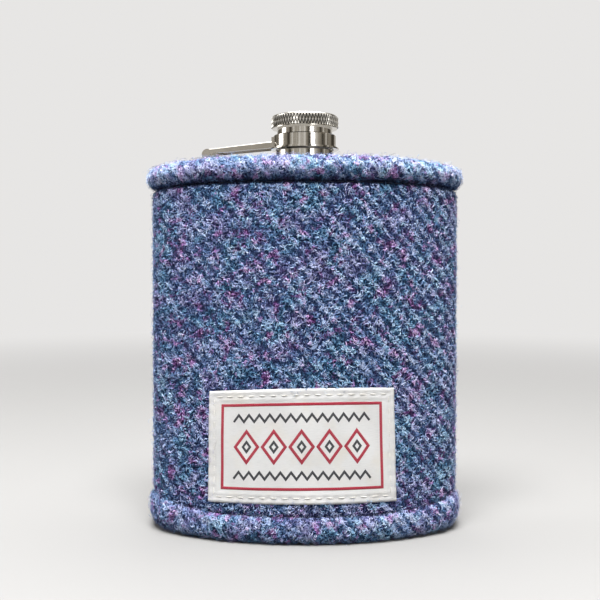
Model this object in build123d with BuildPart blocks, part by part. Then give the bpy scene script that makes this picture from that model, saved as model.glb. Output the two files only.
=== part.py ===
from build123d import *
import os
from math import asin, cos, degrees, pi, sin, sqrt

# A hip flask with a captive screw cap, in a padded cloth sleeve, standing on its base.
# Millimetres, +Z up. The bowed front faces -Y and the width runs along X.
# The origin lies on the floor, in the middle of the sleeve.

# Steel flask
flask_width = 95.0
flask_thickness = 22.0
flask_height = 114.4
bend_radius = 77.0  # centre of the bow to the middle of the flask's thickness
sheet = 0.6  # steel of the wall and of the two pressed ends
skirt = 4.0  # how far a pressed end runs along the side
shoulder_corner = 1.6  # rounded edge of the upper end
base_corner = 0.8  # bevelled edge of the lower end
seat_gap = 0.05  # between pieces that are pressed or soldered together

# Neck and its collar
bore_radius = 6.0
neck_wall = 1.5
neck_rise = 7.1  # lip of the neck above the shoulder
neck_edge = 0.35  # eased edges of the lip
neck_flange = 1.1
collar_height = 4.1
collar_wall = 1.45
collar_foot = 0.9
collar_sweep = 0.9  # flare from the collar down to its foot, if the foot is as wide
collar_groove_width = 0.4
collar_groove_depth = 0.25
collar_band = 1.5  # plain band above the groove

# Captive cap
swing_gap = 0.3  # barrel to neck, enough for the cap to swing clear on its arm
barrel_wall = 0.8
barrel_web = 1.1  # disc across the barrel, behind the gasket
barrel_foot = 0.35  # barrel below the clip's groove
head_wall = 2.0  # barrel to the crests of the knurl
head_height = 4.0
head_crown = 0.55  # plain rounded edge above the knurl
crown_step = 0.03  # how far the plain edges stand in from the grooves' floor
head_rim = 0.2  # plain edge below the knurl
head_top_skin = 0.9
head_stand = 2.05  # underside of the head above the swivel ring
knurl_count = 68
knurl_depth = 0.28
knurl_rows = 2  # half diamonds up the band
knurl_run_out = 0.16
gasket_thick = 1.3
clip_thick = 0.5
clip_bite = 0.35  # depth of the clip's groove in the barrel
clip_width = 0.7
clip_mouth = 40.0  # degrees between the middles of its round ends
cap_travel = 2.8  # rise of the cap in the ring as it unscrews

# Swivel ring
running_gap = 0.1  # barrel to the lip of the ring
clip_clearance = 0.15  # clip to the inside of the ring
ring_wall = 0.65
ring_height = 4.5
ring_lift = 0.25  # ring above the collar
ring_lip = 0.6
ring_edge = 0.25
ring_foot_width = 0.85
ring_foot = 0.5

# Arm, hinge pin and bracket
pin_reach = 31.1  # hinge pin to the neck's axis, both on the middle of the bow
pin_rise = 3.4  # hinge pin above the shoulder
pin_radius = 0.75
pin_gap = 0.05
pin_head_radius = 1.05
pin_head = 0.35
arm_width = 7.0
arm_sheet = 0.7
arm_bend = 0.6
arm_ear_radius = 1.8
arm_depth = 2.1  # side flange at the ring
arm_pin_depth = 1.6  # side flange at the pin
arm_rise = 3.7  # top of the arm above the pin, at the ring
arm_web_clear = 2.4  # pin to the start of the arm's top
saddle_height = 3.3  # end of the arm that is soldered to the ring
saddle_sheet = 0.65
lug_gap = 0.2
lug_sheet = 0.8
lug_radius = 1.45
lug_base = 4.6
bracket_sheet = 0.7
bracket_length = 8.0

# Sleeve
fit = 0.1  # between the layers of the sleeve
lining_cloth = 0.6
tweed = 1.7
roll_cloth = 1.2
roll_shoulder = 0.9  # rounding of a roll where it meets the wall
top_roll = 7.7
top_roll_stand = 1.5  # top of the sleeve above the shoulder
top_roll_crown = 2.2  # cloth over the edge of the wall
top_roll_corner = 2.1
bottom_roll = 9.2
bottom_roll_corner = 4.2
bottom_roll_step = 0.9  # cloth under the edge of the wall, above the base panel
base_inset = 0.7  # edge of the base panel inside the steel's outline
label_width = 57.0
label_height = 34.7
label_cloth = 0.5
label_shift = -0.8
label_above_roll = 3.9
label_corner = 0.8

# The bow of the flask, seen from above
half_chord = (flask_width - flask_thickness) / 2
bow = bend_radius - sqrt(bend_radius**2 - half_chord**2)
bow_middle = -bow / 2
half_angle = degrees(asin(half_chord / bend_radius))

# Layers of the sleeve, measured outward from the steel
lining_out = fit + lining_cloth
tweed_in = lining_out + fit
tweed_out = tweed_in + tweed
roll_in = tweed_out + fit
roll_out = roll_in + roll_cloth
label_in = tweed_out + fit
label_out = label_in + label_cloth

# Heights of the sleeve and the steel
lining_base = tweed + fit
flask_base = lining_base + lining_cloth + fit
shoulder = flask_base + flask_height
sleeve_top = shoulder + top_roll_stand
top_roll_base = sleeve_top - top_roll
wall_base = tweed + bottom_roll_step + fit
wall_top = sleeve_top - top_roll_crown - fit
label_base = bottom_roll + label_above_roll

# Radii and heights of the neck and collar
neck_radius = bore_radius + neck_wall
neck_base = shoulder - sheet - neck_flange
neck_lip = shoulder + neck_rise
neck_flange_radius = flask_thickness / 2 - shoulder_corner  # out to the end of the shoulder's flat
collar_bore = neck_radius + seat_gap
collar_radius = collar_bore + collar_wall
collar_foot_radius = flask_thickness / 2 - sheet  # out to the inside of the wall
collar_flare = min(collar_sweep, collar_foot_radius - collar_radius - seat_gap)
collar_top = shoulder + collar_height
collar_groove = collar_top - collar_band - collar_groove_width

# Radii of the cap, clip and swivel ring, from the neck outward
barrel_bore = neck_radius + swing_gap
barrel_radius = barrel_bore + barrel_wall
groove_floor = barrel_radius - clip_bite
clip_inner = groove_floor + seat_gap
clip_outer = clip_inner + clip_width
ring_bore = clip_outer + clip_clearance
ring_radius = ring_bore + ring_wall
lip_bore = barrel_radius + running_gap
head_radius = barrel_radius + head_wall
knurl_floor = head_radius - knurl_depth

# Heights of the cap, clip and swivel ring. The clip meets the ring's lip at full travel.
ring_base = collar_top + ring_lift
ring_top = ring_base + ring_height
clip_top = ring_top - ring_lip - cap_travel - seat_gap
clip_base = clip_top - clip_thick
barrel_base = clip_base - seat_gap - barrel_foot
head_base = ring_top + head_stand
head_top = head_base + head_height
crown_base = head_top - head_crown
barrel_top = head_top - head_top_skin - seat_gap
gasket_base = neck_lip + seat_gap
gasket_top = gasket_base + gasket_thick

# Hinge of the arm. The arm is a chord of the bow, so it turns back from the width by this angle.
arm_turn = degrees(asin(pin_reach / (2 * bend_radius)))
pin_z = shoulder + pin_rise
ear_inside = arm_width / 2 - arm_sheet
lug_outside = ear_inside - lug_gap
arm_end = pin_reach - ring_radius + arm_sheet
saddle_base = pin_z + arm_rise - arm_depth

# Planes and axes that several pieces share
neck_axis = Axis((0, bow_middle, 0), (0, 0, 1))
neck_plane = Plane(origin=(0, bow_middle, 0), x_dir=(1, 0, 0), z_dir=(0, -1, 0))
arm_plan = Plane(origin=(0, bow_middle, 0)).rotated((0, 0, -arm_turn))
hinge_plane = Plane(
    origin=arm_plan.from_local_coords((-pin_reach, 0, pin_z)),
    x_dir=arm_plan.x_dir,
    z_dir=-arm_plan.y_dir,
)

os.makedirs("parts", exist_ok=True)

with BuildLine() as bend:
    CenterArc((0, bow_middle + bend_radius), bend_radius, -90 - half_angle, 2 * half_angle)


def outline(grow, mode=Mode.ADD):
    """The flask's bowed section, grown outward from the steel."""
    return SlotArc(bend.wires()[0], flask_thickness + 2 * grow, mode=mode)


def block(grow, low, high, mode=Mode.ADD):
    """A solid of the bowed section between two heights."""
    with BuildSketch(Plane.XY.offset(low)) as section:
        outline(grow)
    return extrude(section.sketch, amount=high - low, mode=mode)


def wall(inner, outer, low, high, mode=Mode.ADD):
    """A closed wall between two bowed outlines."""
    with BuildSketch(Plane.XY.offset(low)) as section:
        outline(outer)
        outline(inner, mode=Mode.SUBTRACT)
    return extrude(section.sketch, amount=high - low, mode=mode)


def step(inner, outer, low, high, mode=Mode.ADD):
    """One step of a turned profile, between two radii and two heights."""
    with Locations(((inner + outer) / 2, (low + high) / 2)):
        return Rectangle(outer - inner, high - low, mode=mode)


def top_edges(part):
    return part.faces().sort_by(Axis.Z)[-1].edges()


def bottom_edges(part):
    return part.faces().sort_by(Axis.Z)[0].edges()


def save(part, name):
    part.label = name
    export_step(part, f"parts/{name}.step")


# Steel flask: a bowed wall with a pressed end welded on above and below
with BuildPart() as body_wall:
    wall(-sheet, 0, flask_base + skirt, shoulder - skirt)
save(body_wall.part, "body_wall")

with BuildPart() as bottom_plate:
    block(0, flask_base, flask_base + skirt)
    chamfer(bottom_edges(bottom_plate), base_corner)
    block(-sheet, flask_base + sheet, flask_base + skirt, mode=Mode.SUBTRACT)
    floor = bottom_plate.faces().filter_by(Plane.XY).sort_by(Axis.Z)[1]
    chamfer(floor.edges(), base_corner)
save(bottom_plate.part, "bottom_plate")

with BuildPart() as top_plate:
    block(0, shoulder - skirt, shoulder)
    fillet(top_edges(top_plate), shoulder_corner)
    block(-sheet, shoulder - skirt, shoulder - sheet, mode=Mode.SUBTRACT)
    ceiling = top_plate.faces().filter_by(Plane.XY).sort_by(Axis.Z)[-2]
    chamfer(ceiling.edges(), shoulder_corner - sheet)
    with Locations((0, bow_middle, shoulder)):
        Hole(neck_radius + seat_gap)
save(top_plate.part, "top_plate")

# Neck: a tube through the shoulder, with its flange welded underneath
with BuildPart() as neck:
    with BuildSketch(neck_plane):
        step(bore_radius, neck_radius, neck_base, neck_lip)
        chamfer(vertices().group_by(Axis.Y)[-1], neck_edge)
        step(bore_radius, neck_flange_radius, neck_base, neck_base + neck_flange)
    revolve(axis=neck_axis)
save(neck.part, "neck")

# Collar: a turned band round the neck, flared to a foot on the shoulder
with BuildPart() as neck_collar:
    with BuildSketch(neck_plane):
        step(collar_bore, collar_radius, shoulder, collar_top)
        step(collar_bore, collar_foot_radius, shoulder, shoulder + collar_foot)
        chamfer(vertices().group_by(Axis.Y)[1].sort_by(Axis.X)[0], collar_flare)
        chamfer(vertices().group_by(Axis.Y)[-1].sort_by(Axis.X)[-1], ring_edge)
        step(
            collar_radius - collar_groove_depth,
            collar_radius,
            collar_groove,
            collar_groove + collar_groove_width,
            mode=Mode.SUBTRACT,
        )
    revolve(axis=neck_axis)
save(neck_collar.part, "neck_collar")

# Barrel of the cap: a cup that goes over the neck, grooved near its foot for the clip
with BuildPart() as cap_barrel:
    with BuildSketch(neck_plane):
        step(barrel_bore, barrel_radius, barrel_base, barrel_top)
        step(0, barrel_radius, gasket_top, gasket_top + barrel_web)
        step(
            groove_floor,
            barrel_radius,
            clip_base - seat_gap,
            clip_top + seat_gap,
            mode=Mode.SUBTRACT,
        )
    revolve(axis=neck_axis)
save(cap_barrel.part, "cap_barrel")

with BuildPart() as cap_gasket:
    with BuildSketch(neck_plane):
        step(0, barrel_bore - seat_gap, gasket_base, gasket_top)
    revolve(axis=neck_axis)
save(cap_gasket.part, "cap_gasket")

# Clip: a split spring ring in the barrel's groove, with round ends at the back
with BuildPart() as retaining_clip:
    with BuildLine() as spring:
        clip_middle = (clip_inner + clip_outer) / 2
        CenterArc((0, bow_middle), clip_middle, 90 + clip_mouth / 2, 360 - clip_mouth)
    with BuildSketch(Plane.XY.offset(clip_base)):
        SlotArc(spring.wires()[0], clip_width)
    extrude(amount=clip_thick)
save(retaining_clip.part, "retaining_clip")

# Head of the cap: crossed knurling between a plain rim and a rounded crown.
# Two sets of V grooves leave rows of pyramids, each row half a diamond round from the next.
# A facet spans a crest and the crossings of the grooves beside it.
knurl_base = head_base + head_rim
knurl_start = knurl_base + knurl_run_out
knurl_row = (crown_base - knurl_base - 2 * knurl_run_out) / knurl_rows
knurl_points = 2 * knurl_count


def knurl_point(half, height, crest):
    """A corner of the band, counted round in half diamonds."""
    radius = head_radius if crest else knurl_floor
    angle = pi * half / knurl_count
    return Vector(radius * cos(angle), bow_middle + radius * sin(angle), height)


def knurl_level(row):
    """The corners round one row: crests and crossings in turn."""
    height = knurl_start + row * knurl_row
    return [knurl_point(half, height, (half + row) % 2 == 0) for half in range(knurl_points)]


def plain_level(height):
    """The corners of a plain edge, where the grooves run out."""
    return [knurl_point(half, height, False) for half in range(knurl_points)]


def facets(lower, upper, row):
    """Two flat facets for each step round, parted along the bottom of a groove."""
    found = []
    for half in range(knurl_points):
        near, far = half, (half + 1) % knurl_points
        if (half + row) % 2 == 0:
            corners = [(lower[near], lower[far], upper[near]), (lower[far], upper[far], upper[near])]
        else:
            corners = [(lower[near], lower[far], upper[far]), (lower[near], upper[far], upper[near])]
        found += [Face(Wire.make_polygon(three)) for three in corners]
    return found


levels = [plain_level(knurl_base)]
levels += [knurl_level(row) for row in range(knurl_rows + 1)]
levels.append(plain_level(crown_base))
skin = [Face(Wire.make_polygon(level)) for level in (levels[0], levels[-1])]
for row in range(len(levels) - 1):
    skin += facets(levels[row], levels[row + 1], row + 1)

with BuildPart() as cap_head:
    add(Solid(Shell(skin)))
    with BuildSketch(neck_plane):
        step(0, knurl_floor - crown_step, head_base, head_top)
        fillet(vertices().group_by(Axis.Y)[-1].sort_by(Axis.X)[-1], head_crown)
    revolve(axis=neck_axis)
    with BuildSketch(neck_plane):
        step(0, barrel_radius + seat_gap, head_base, barrel_top + seat_gap)
    revolve(axis=neck_axis, mode=Mode.SUBTRACT)
save(cap_head.part, "cap_head")

# Swivel ring: a cup that the barrel turns in, with a lip over the clip and a thin foot
with BuildPart() as swivel_ring:
    with BuildSketch(neck_plane):
        step(ring_bore, ring_radius, ring_base, ring_top)
        step(lip_bore, ring_radius, ring_top - ring_lip, ring_top)
        chamfer(vertices().group_by(Axis.Y)[-1].sort_by(Axis.X)[-1], ring_edge)
        step(ring_bore, ring_radius + ring_foot_width, ring_base, ring_base + ring_foot)
    revolve(axis=neck_axis)
save(swivel_ring.part, "swivel_ring")

# Arm: a pressed channel with two round ears on the pin and a saddle soldered to the ring
with BuildPart() as arm:
    with BuildSketch(hinge_plane):
        with BuildLine():
            Polyline(
                (0, arm_ear_radius),
                (arm_end, arm_rise),
                (arm_end, arm_rise - arm_depth),
                (0, arm_ear_radius - arm_pin_depth),
                close=True,
            )
        make_face()
    extrude(amount=arm_width / 2, both=True)
    long_edges = arm.edges().filter_by(lambda edge: edge.length > arm_end / 2)
    fillet(long_edges.group_by(Axis.Z)[-1], arm_bend)
    with BuildSketch(hinge_plane):
        Circle(arm_ear_radius)
    extrude(amount=arm_width / 2, both=True)
    with BuildSketch(hinge_plane):
        with BuildLine():
            Polyline(
                (-arm_width, -arm_width),
                (arm_end, -arm_width),
                (arm_end, arm_rise - arm_sheet),
                (arm_web_clear, arm_ear_radius - arm_sheet),
                (arm_web_clear, arm_width),
                (-arm_width, arm_width),
                close=True,
            )
        make_face()
    extrude(amount=ear_inside, both=True, mode=Mode.SUBTRACT)
    with BuildSketch(arm_plan.offset(saddle_base)):
        Circle(ring_radius + seat_gap + saddle_sheet)
        with Locations((-ring_radius, 0)):
            Rectangle(ring_radius, arm_width, mode=Mode.INTERSECT)
    extrude(amount=saddle_height)
    with BuildSketch(arm_plan):
        Circle(ring_radius + seat_gap)
    extrude(amount=head_top, mode=Mode.SUBTRACT)
    with BuildSketch(hinge_plane):
        Circle(pin_radius + seat_gap)
    extrude(amount=arm_width, both=True, mode=Mode.SUBTRACT)
save(arm.part, "arm")

with BuildPart() as hinge_pin:
    with BuildSketch(hinge_plane):
        Circle(pin_radius)
    extrude(amount=arm_width / 2, both=True)
    for side in (-1, 1):
        with BuildSketch(hinge_plane.offset(side * arm_width / 2)) as head:
            Circle(pin_head_radius)
        extrude(head.sketch, amount=side * pin_head)
save(hinge_pin.part, "hinge_pin")

# Bracket: a bent strip spot-welded to the shoulder, with a lug each side for the pin
with BuildPart() as hinge_bracket:
    with BuildSketch(hinge_plane):
        with Locations((0, -pin_rise + bracket_sheet / 2)):
            Rectangle(bracket_length, bracket_sheet)
        with BuildLine():
            Polyline(
                (-lug_radius, 0),
                (-lug_base / 2, bracket_sheet - pin_rise),
                (lug_base / 2, bracket_sheet - pin_rise),
                (lug_radius, 0),
                close=True,
            )
        make_face()
        Circle(lug_radius)
    extrude(amount=lug_outside, both=True)
    with BuildSketch(hinge_plane):
        with Locations((0, bracket_sheet)):
            Rectangle(bracket_length, 2 * pin_rise)
    extrude(amount=lug_outside - lug_sheet, both=True, mode=Mode.SUBTRACT)
    with BuildSketch(hinge_plane):
        Circle(pin_radius + pin_gap)
    extrude(amount=arm_width, both=True, mode=Mode.SUBTRACT)
save(hinge_bracket.part, "hinge_bracket")

# Sleeve: a lining bag, a wrap of tweed, a rolled edge above and below, and a base
with BuildPart() as lining:
    wall(fit, lining_out, lining_base, top_roll_base - fit)
    block(lining_out, lining_base, lining_base + lining_cloth)
save(lining.part, "lining")

with BuildPart() as tweed_wall:
    wall(tweed_in, tweed_out, wall_base, wall_top)
save(tweed_wall.part, "tweed_wall")

with BuildPart() as top_binding:
    block(roll_out, top_roll_base, sleeve_top)
    fillet(top_edges(top_binding), top_roll_corner)
    chamfer(bottom_edges(top_binding), roll_shoulder)
    block(fit, top_roll_base, sleeve_top, mode=Mode.SUBTRACT)
    wall(lining_out, roll_in, top_roll_base, wall_top + fit, mode=Mode.SUBTRACT)
save(top_binding.part, "top_binding")

with BuildPart() as bottom_binding:
    block(roll_out, 0, bottom_roll)
    fillet(bottom_edges(bottom_binding), bottom_roll_corner)
    chamfer(top_edges(bottom_binding), roll_shoulder)
    block(roll_in, wall_base - fit, bottom_roll, mode=Mode.SUBTRACT)
    block(tweed_in, tweed, bottom_roll, mode=Mode.SUBTRACT)
    block(fit - base_inset, 0, tweed, mode=Mode.SUBTRACT)
save(bottom_binding.part, "bottom_binding")

with BuildPart() as base_panel:
    block(-base_inset, 0, tweed)
save(base_panel.part, "base_panel")

# Label: a woven patch laid on the bow of the front
with BuildPart() as label:
    wall(label_in, label_out, label_base, label_base + label_height)
    with Locations((label_shift, -flask_thickness, label_base + label_height / 2)):
        Box(label_width, 2 * flask_thickness, label_height, mode=Mode.INTERSECT)
    fillet(label.edges().filter_by(Axis.Y), label_corner)
save(label.part, "label")
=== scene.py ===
import math
import bpy
import numpy as np
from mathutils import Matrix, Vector


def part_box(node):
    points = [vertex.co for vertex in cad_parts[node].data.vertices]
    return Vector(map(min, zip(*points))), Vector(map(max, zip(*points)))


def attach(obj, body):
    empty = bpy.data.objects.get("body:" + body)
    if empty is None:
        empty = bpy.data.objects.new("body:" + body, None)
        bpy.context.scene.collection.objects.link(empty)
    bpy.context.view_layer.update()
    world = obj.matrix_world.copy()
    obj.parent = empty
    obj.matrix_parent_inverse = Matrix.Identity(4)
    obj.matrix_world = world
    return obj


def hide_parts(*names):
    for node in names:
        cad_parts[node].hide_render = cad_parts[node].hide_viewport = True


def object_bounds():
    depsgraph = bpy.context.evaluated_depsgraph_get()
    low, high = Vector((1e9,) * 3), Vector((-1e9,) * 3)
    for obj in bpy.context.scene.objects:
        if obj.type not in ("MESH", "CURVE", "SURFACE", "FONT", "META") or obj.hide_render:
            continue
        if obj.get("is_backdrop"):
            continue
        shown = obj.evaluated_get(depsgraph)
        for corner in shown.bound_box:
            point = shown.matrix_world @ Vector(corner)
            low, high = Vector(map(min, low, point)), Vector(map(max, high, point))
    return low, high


# Hip flask with a screw cap on an arm, in a woollen tweed sleeve.
# The frame is in metres; the sizes in the dictionaries below are millimetres.
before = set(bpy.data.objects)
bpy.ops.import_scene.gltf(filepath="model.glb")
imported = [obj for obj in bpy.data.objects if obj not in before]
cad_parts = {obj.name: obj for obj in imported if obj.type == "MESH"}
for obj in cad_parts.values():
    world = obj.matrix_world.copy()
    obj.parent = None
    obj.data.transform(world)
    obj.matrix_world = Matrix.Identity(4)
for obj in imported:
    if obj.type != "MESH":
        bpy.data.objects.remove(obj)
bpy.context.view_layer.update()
mm = 0.001
pi = math.pi
scene = bpy.context.scene
print("frame loaded")


def span(node):
    # lowest and highest corner of a frame piece, in millimetres
    low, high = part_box(node)
    return Vector(low) / mm, Vector(high) / mm


wallLow, wallHigh = span("body_wall")
flask = {
    "thickness": 22.0,
    "width": wallHigh.x - wallLow.x,
    "depth": wallHigh.y - wallLow.y,
}
ditch, top = (corner.z for corner in span("top_binding"))
foot = span("bottom_binding")[1].z - 1.1  # the stitches sink in below the edge's top
half = flask["thickness"] / 2
halfChord = flask["width"] / 2 - half
bow = flask["depth"] - flask["thickness"]
bendRadius = (halfChord ** 2 + bow ** 2) / (2 * bow)
halfAngle = math.asin(halfChord / bendRadius)
bendCentre = bendRadius - bow / 2

# Layers of the sleeve, outward from the steel
layer = {"lining": 0.7, "cloth": 2.5, "roll": 3.8}
clothRadius = bendRadius + half + layer["cloth"]
backLength = (bendRadius - half - layer["cloth"]) * halfAngle
endLength = (half + layer["cloth"]) * pi
# the five stretches round the section, from the middle of the back
lengths = [backLength, endLength, clothRadius * 2 * halfAngle, endLength, backLength]
starts = np.cumsum([0] + lengths)
around = sum(lengths)


def section(u):
    # point on the steel and the way out, for a distance u round the cloth
    u = np.asarray(u, float) % around
    piece = np.clip(np.searchsorted(starts, u, side="right") - 1, 0, 4)
    share = (u - starts[piece]) / np.take(lengths, piece)
    bend = np.choose(piece, [-share * halfAngle, -halfAngle, (2 * share - 1) * halfAngle, halfAngle,
                             (1 - share) * halfAngle])
    turn = np.choose(piece, [pi, -pi * (1 - share), 0.0, pi * share, pi])
    outX, outY = np.sin(bend), -np.cos(bend)
    nx = outX * np.cos(turn) - outY * np.sin(turn)
    ny = outX * np.sin(turn) + outY * np.cos(turn)
    return bendRadius * outX + half * nx, bendCentre + bendRadius * outY + half * ny, nx, ny


# the sewing pulls the cloth in round the two ends, less so the layers near the steel
snug = {"in": 0.95, "from": 2.2}
# round the ends the bottom edge rises a little and the top edge droops
lift = {"bottomEdge": 1.2, "bottomDitch": 2.7, "topDitch": -1.5, "topEdge": -2.1, "reach": 46.0}


def onSleeve(u, v, out):
    # points out from the steel, in metres
    x, y, nx, ny = section(u)
    atEnd = np.minimum(1, np.abs(2 * x / flask["width"])) ** 6
    out = out - snug["in"] * atEnd * np.clip(np.asarray(out) / snug["from"], 0, 1)
    return np.stack([x + nx * out, y + ny * out, np.broadcast_to(v, np.shape(x))], -1) * mm


def newMaterial(name):
    material = bpy.data.materials.new(name)
    material.use_nodes = True
    return material, material.node_tree


def setSockets(node, inputs):
    # links and plain values; colours come without their alpha
    for key, value in inputs.items():
        socket = node.inputs[key]
        if isinstance(value, bpy.types.NodeSocket):
            node.id_data.links.new(value, socket)
        else:
            socket.default_value = (*value, 1) if socket.type == "RGBA" else value


def add(beside, kind, inputs=None, **settings):
    # beside: a node tree, or a socket in it
    node = beside.id_data.nodes.new("ShaderNode" + kind)
    for key, value in settings.items():
        setattr(node, key, value)
    setSockets(node, inputs or {})
    return node


def maths(operation, *parts):
    return add(parts[0], "Math", dict(enumerate(parts)), operation=operation).outputs[0]


def times(a, b):
    return maths("MULTIPLY", a, b)


def total(first, *others):
    for other in others:
        first = maths("ADD", first, other)
    return first


def vectors(operation, *parts):
    node = add(parts[0], "VectorMath", dict(enumerate(parts)), operation=operation)
    return node.outputs["Value" if operation in ("LENGTH", "DOT_PRODUCT") else "Vector"]


def apart(vector):
    return add(vector, "SeparateXYZ", {0: vector}).outputs


def mixColour(factor, a, b):
    return add(factor, "Mix", {0: factor, 6: a, 7: b}, data_type="RGBA").outputs[2]


def ramp(value, stops):
    node = add(value, "ValToRGB", {0: value})
    elements = node.color_ramp.elements
    while len(elements) < len(stops):
        elements.new(0.5)
    for element, (place, colour) in zip(elements, stops):
        element.position = place
        element.color = (*colour, 1.0)
    return node.outputs[0]


def noise(vector, scale, detail=2.0, rough=0.5, distort=0.0, output="Fac"):
    inputs = {"Vector": vector, "Scale": scale, "Detail": detail, "Roughness": rough, "Distortion": distort}
    return add(vector, "TexNoise", inputs).outputs[output]


def step(value, low, high, **settings):
    # 0 at low, 1 at high, held beyond them
    inputs = {0: value, 1: low, 2: high}
    return add(value, "MapRange", inputs, clamp=True, **settings).outputs[0]


def stretched(vector, by):
    return add(vector, "Mapping", {"Vector": vector, "Scale": by}).outputs[0]


def wave(along, pitch):
    return maths("SINE", times(along, 2 * pi / pitch))


def weave(flat, pitchX, pitchY):
    x, y, z = apart(flat)
    return times(wave(x, pitchX), wave(y, pitchY))


def clothPlace(tree):
    # millimetres round and up the cloth
    return add(tree, "UVMap", uv_map="cloth").outputs[0]


def objectPlace(tree):
    return add(tree, "TexCoord").outputs["Object"]


def millimetrePlace(tree):
    return vectors("MULTIPLY", objectPlace(tree), (1 / mm,) * 3)


def shade(colour, by):
    return tuple(part * by for part in colour)


def finish(colour, rough, relief, depth, strength, others=None):
    # what every material sets; the relief's depth is in millimetres
    tree = relief.id_data
    bumps = add(tree, "Bump", {"Height": relief, "Distance": depth * mm, "Strength": strength})
    setSockets(tree.nodes["Principled BSDF"], {
        "Base Color": colour, "Roughness": rough, "Normal": bumps.outputs[0], **(others or {})})


def intoScene(name, data):
    item = bpy.data.objects.new(name, data)
    scene.collection.objects.link(item)
    return item


def addMap(piece, name, coordinates):
    # coordinates: one pair for each corner of each face, in order
    corners = piece.data.uv_layers.new(name=name).data
    corners.foreach_set("uv", np.asarray(coordinates, np.float32).ravel())


def makePiece(name, points, faces, material, smooth=True, flat=None):
    # flat: each point's place on the cloth
    mesh = bpy.data.meshes.new(name)
    mesh.from_pydata(np.reshape(points, (-1, 3)).tolist(), [], [tuple(face) for face in faces])
    mesh.validate()
    mesh.materials.append(material)
    mesh.polygons.foreach_set("use_smooth", [smooth] * len(mesh.polygons))
    piece = intoScene(name, mesh)
    if flat is not None:
        addMap(piece, "cloth", np.asarray(flat)[np.concatenate([np.asarray(face) for face in faces])])
    return piece


def links(low, high, columns, order=(0, 1, 2, 3)):
    # quads between two closed rows of points
    i = np.arange(columns)
    n = (i + 1) % columns
    return np.stack([low + i, low + n, high + n, high + i], -1)[:, order]


def gridFaces(columns, rows, closed=True, joined=False, order=(0, 1, 2, 3)):
    # closed joins each row's ends; joined joins the last row to the first
    faces = [links(k * columns, (k + 1) % rows * columns, columns, order)
             for k in range(rows if joined else rows - 1)]
    return np.stack(faces)[:, :columns if closed else columns - 1].reshape(-1, 4)


def between(values, x, y, ease=False):
    # the value at a place on a grid that meets itself, from its nearest four
    rows, columns = values.shape
    i, j = np.floor(x).astype(int), np.floor(y).astype(int)
    fx, fy = x - i, y - j
    if ease:
        fx, fy = fx * fx * (3 - 2 * fx), fy * fy * (3 - 2 * fy)
    n, i, above, j = (i + 1) % columns, i % columns, (j + 1) % rows, j % rows
    low = values[j, i] * (1 - fx) + values[j, n] * fx
    high = values[above, i] * (1 - fx) + values[above, n] * fx
    return low * (1 - fy) + high * fy


headLow, headHigh = span("cap_head")
knurl = {
    "middle": (headHigh + headLow) / 2,
    "crest": (headHigh.x - headLow.x) / 2,
    "depth": 0.28,
    "grooveGrimeAndShade": 0.1,  # how dark the grooves' floor is painted: painted shade, with some dirt
}


def steel(name, colour, rough, grain, scratches, grimeAndShadeInGrooves=False):
    # the floor of the knurl's grooves can be painted dark: painted shade, with some dirt
    material, tree = newMaterial(name)
    place = objectPlace(tree)
    fine = noise(stretched(place, grain), 900.0, 3.0, 0.6)
    smudge = noise(place, 160.0, 4.0, 0.6, 0.5)
    tone = ramp(smudge, [(0.3, shade(colour, 0.86)), (0.7, colour)])
    # painted shade on the floor of the knurl's grooves, with some dirt
    if grimeAndShadeInGrooves:
        floor = knurl["crest"] - knurl["depth"]
        away = vectors("ADD", place, (-knurl["middle"].x * mm, -knurl["middle"].y * mm, 0))
        radius = vectors("LENGTH", vectors("MULTIPLY", away, (1 / mm, 1 / mm, 0)))
        onBand = maths("GREATER_THAN", radius, floor - 0.015)
        deep = times(step(radius, knurl["crest"] - 0.09, floor + 0.03), onBand)
        tone = mixColour(deep, tone, shade(colour, knurl["grooveGrimeAndShade"]))
    polish = maths("MULTIPLY_ADD", smudge, rough, rough * 0.6)
    finish(tone, polish, fine, scratches, 0.4, {"Metallic": 1.0})
    return material


polished = steel("polishedSteel", (0.66, 0.63, 0.58), 0.1, (1, 1, 1), 0.004)
satin = steel("satinSteel", (0.56, 0.55, 0.53), 0.3, (1, 6, 1), 0.01)
knurled = steel("knurledSteel", (0.74, 0.71, 0.65), 0.16, (1, 1, 1), 0.006, grimeAndShadeInGrooves=True)
# moulded rubber, dull, with a dusty bloom
seal, tree = newMaterial("sealRubber")
bloom = noise(objectPlace(tree), 400.0, 4.0, 0.6)
rubber = (0.75, 0.73, 0.68)
finish(ramp(bloom, [(0.3, shade(rubber, 0.8)), (0.7, rubber)]), 0.6, bloom, 0.02, 0.5)
finishes = [
    (polished, ["neck_collar", "cap_barrel", "swivel_ring", "arm", "hinge_pin"]),
    (satin, ["body_wall", "top_plate", "bottom_plate", "neck", "hinge_bracket", "retaining_clip"]),
    (knurled, ["cap_head"]),
    (seal, ["cap_gasket"]),
]
for material, nodes in finishes:
    for node in nodes:
        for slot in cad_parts[node].material_slots:
            slot.material = material
print("steel and rubber made")

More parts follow.
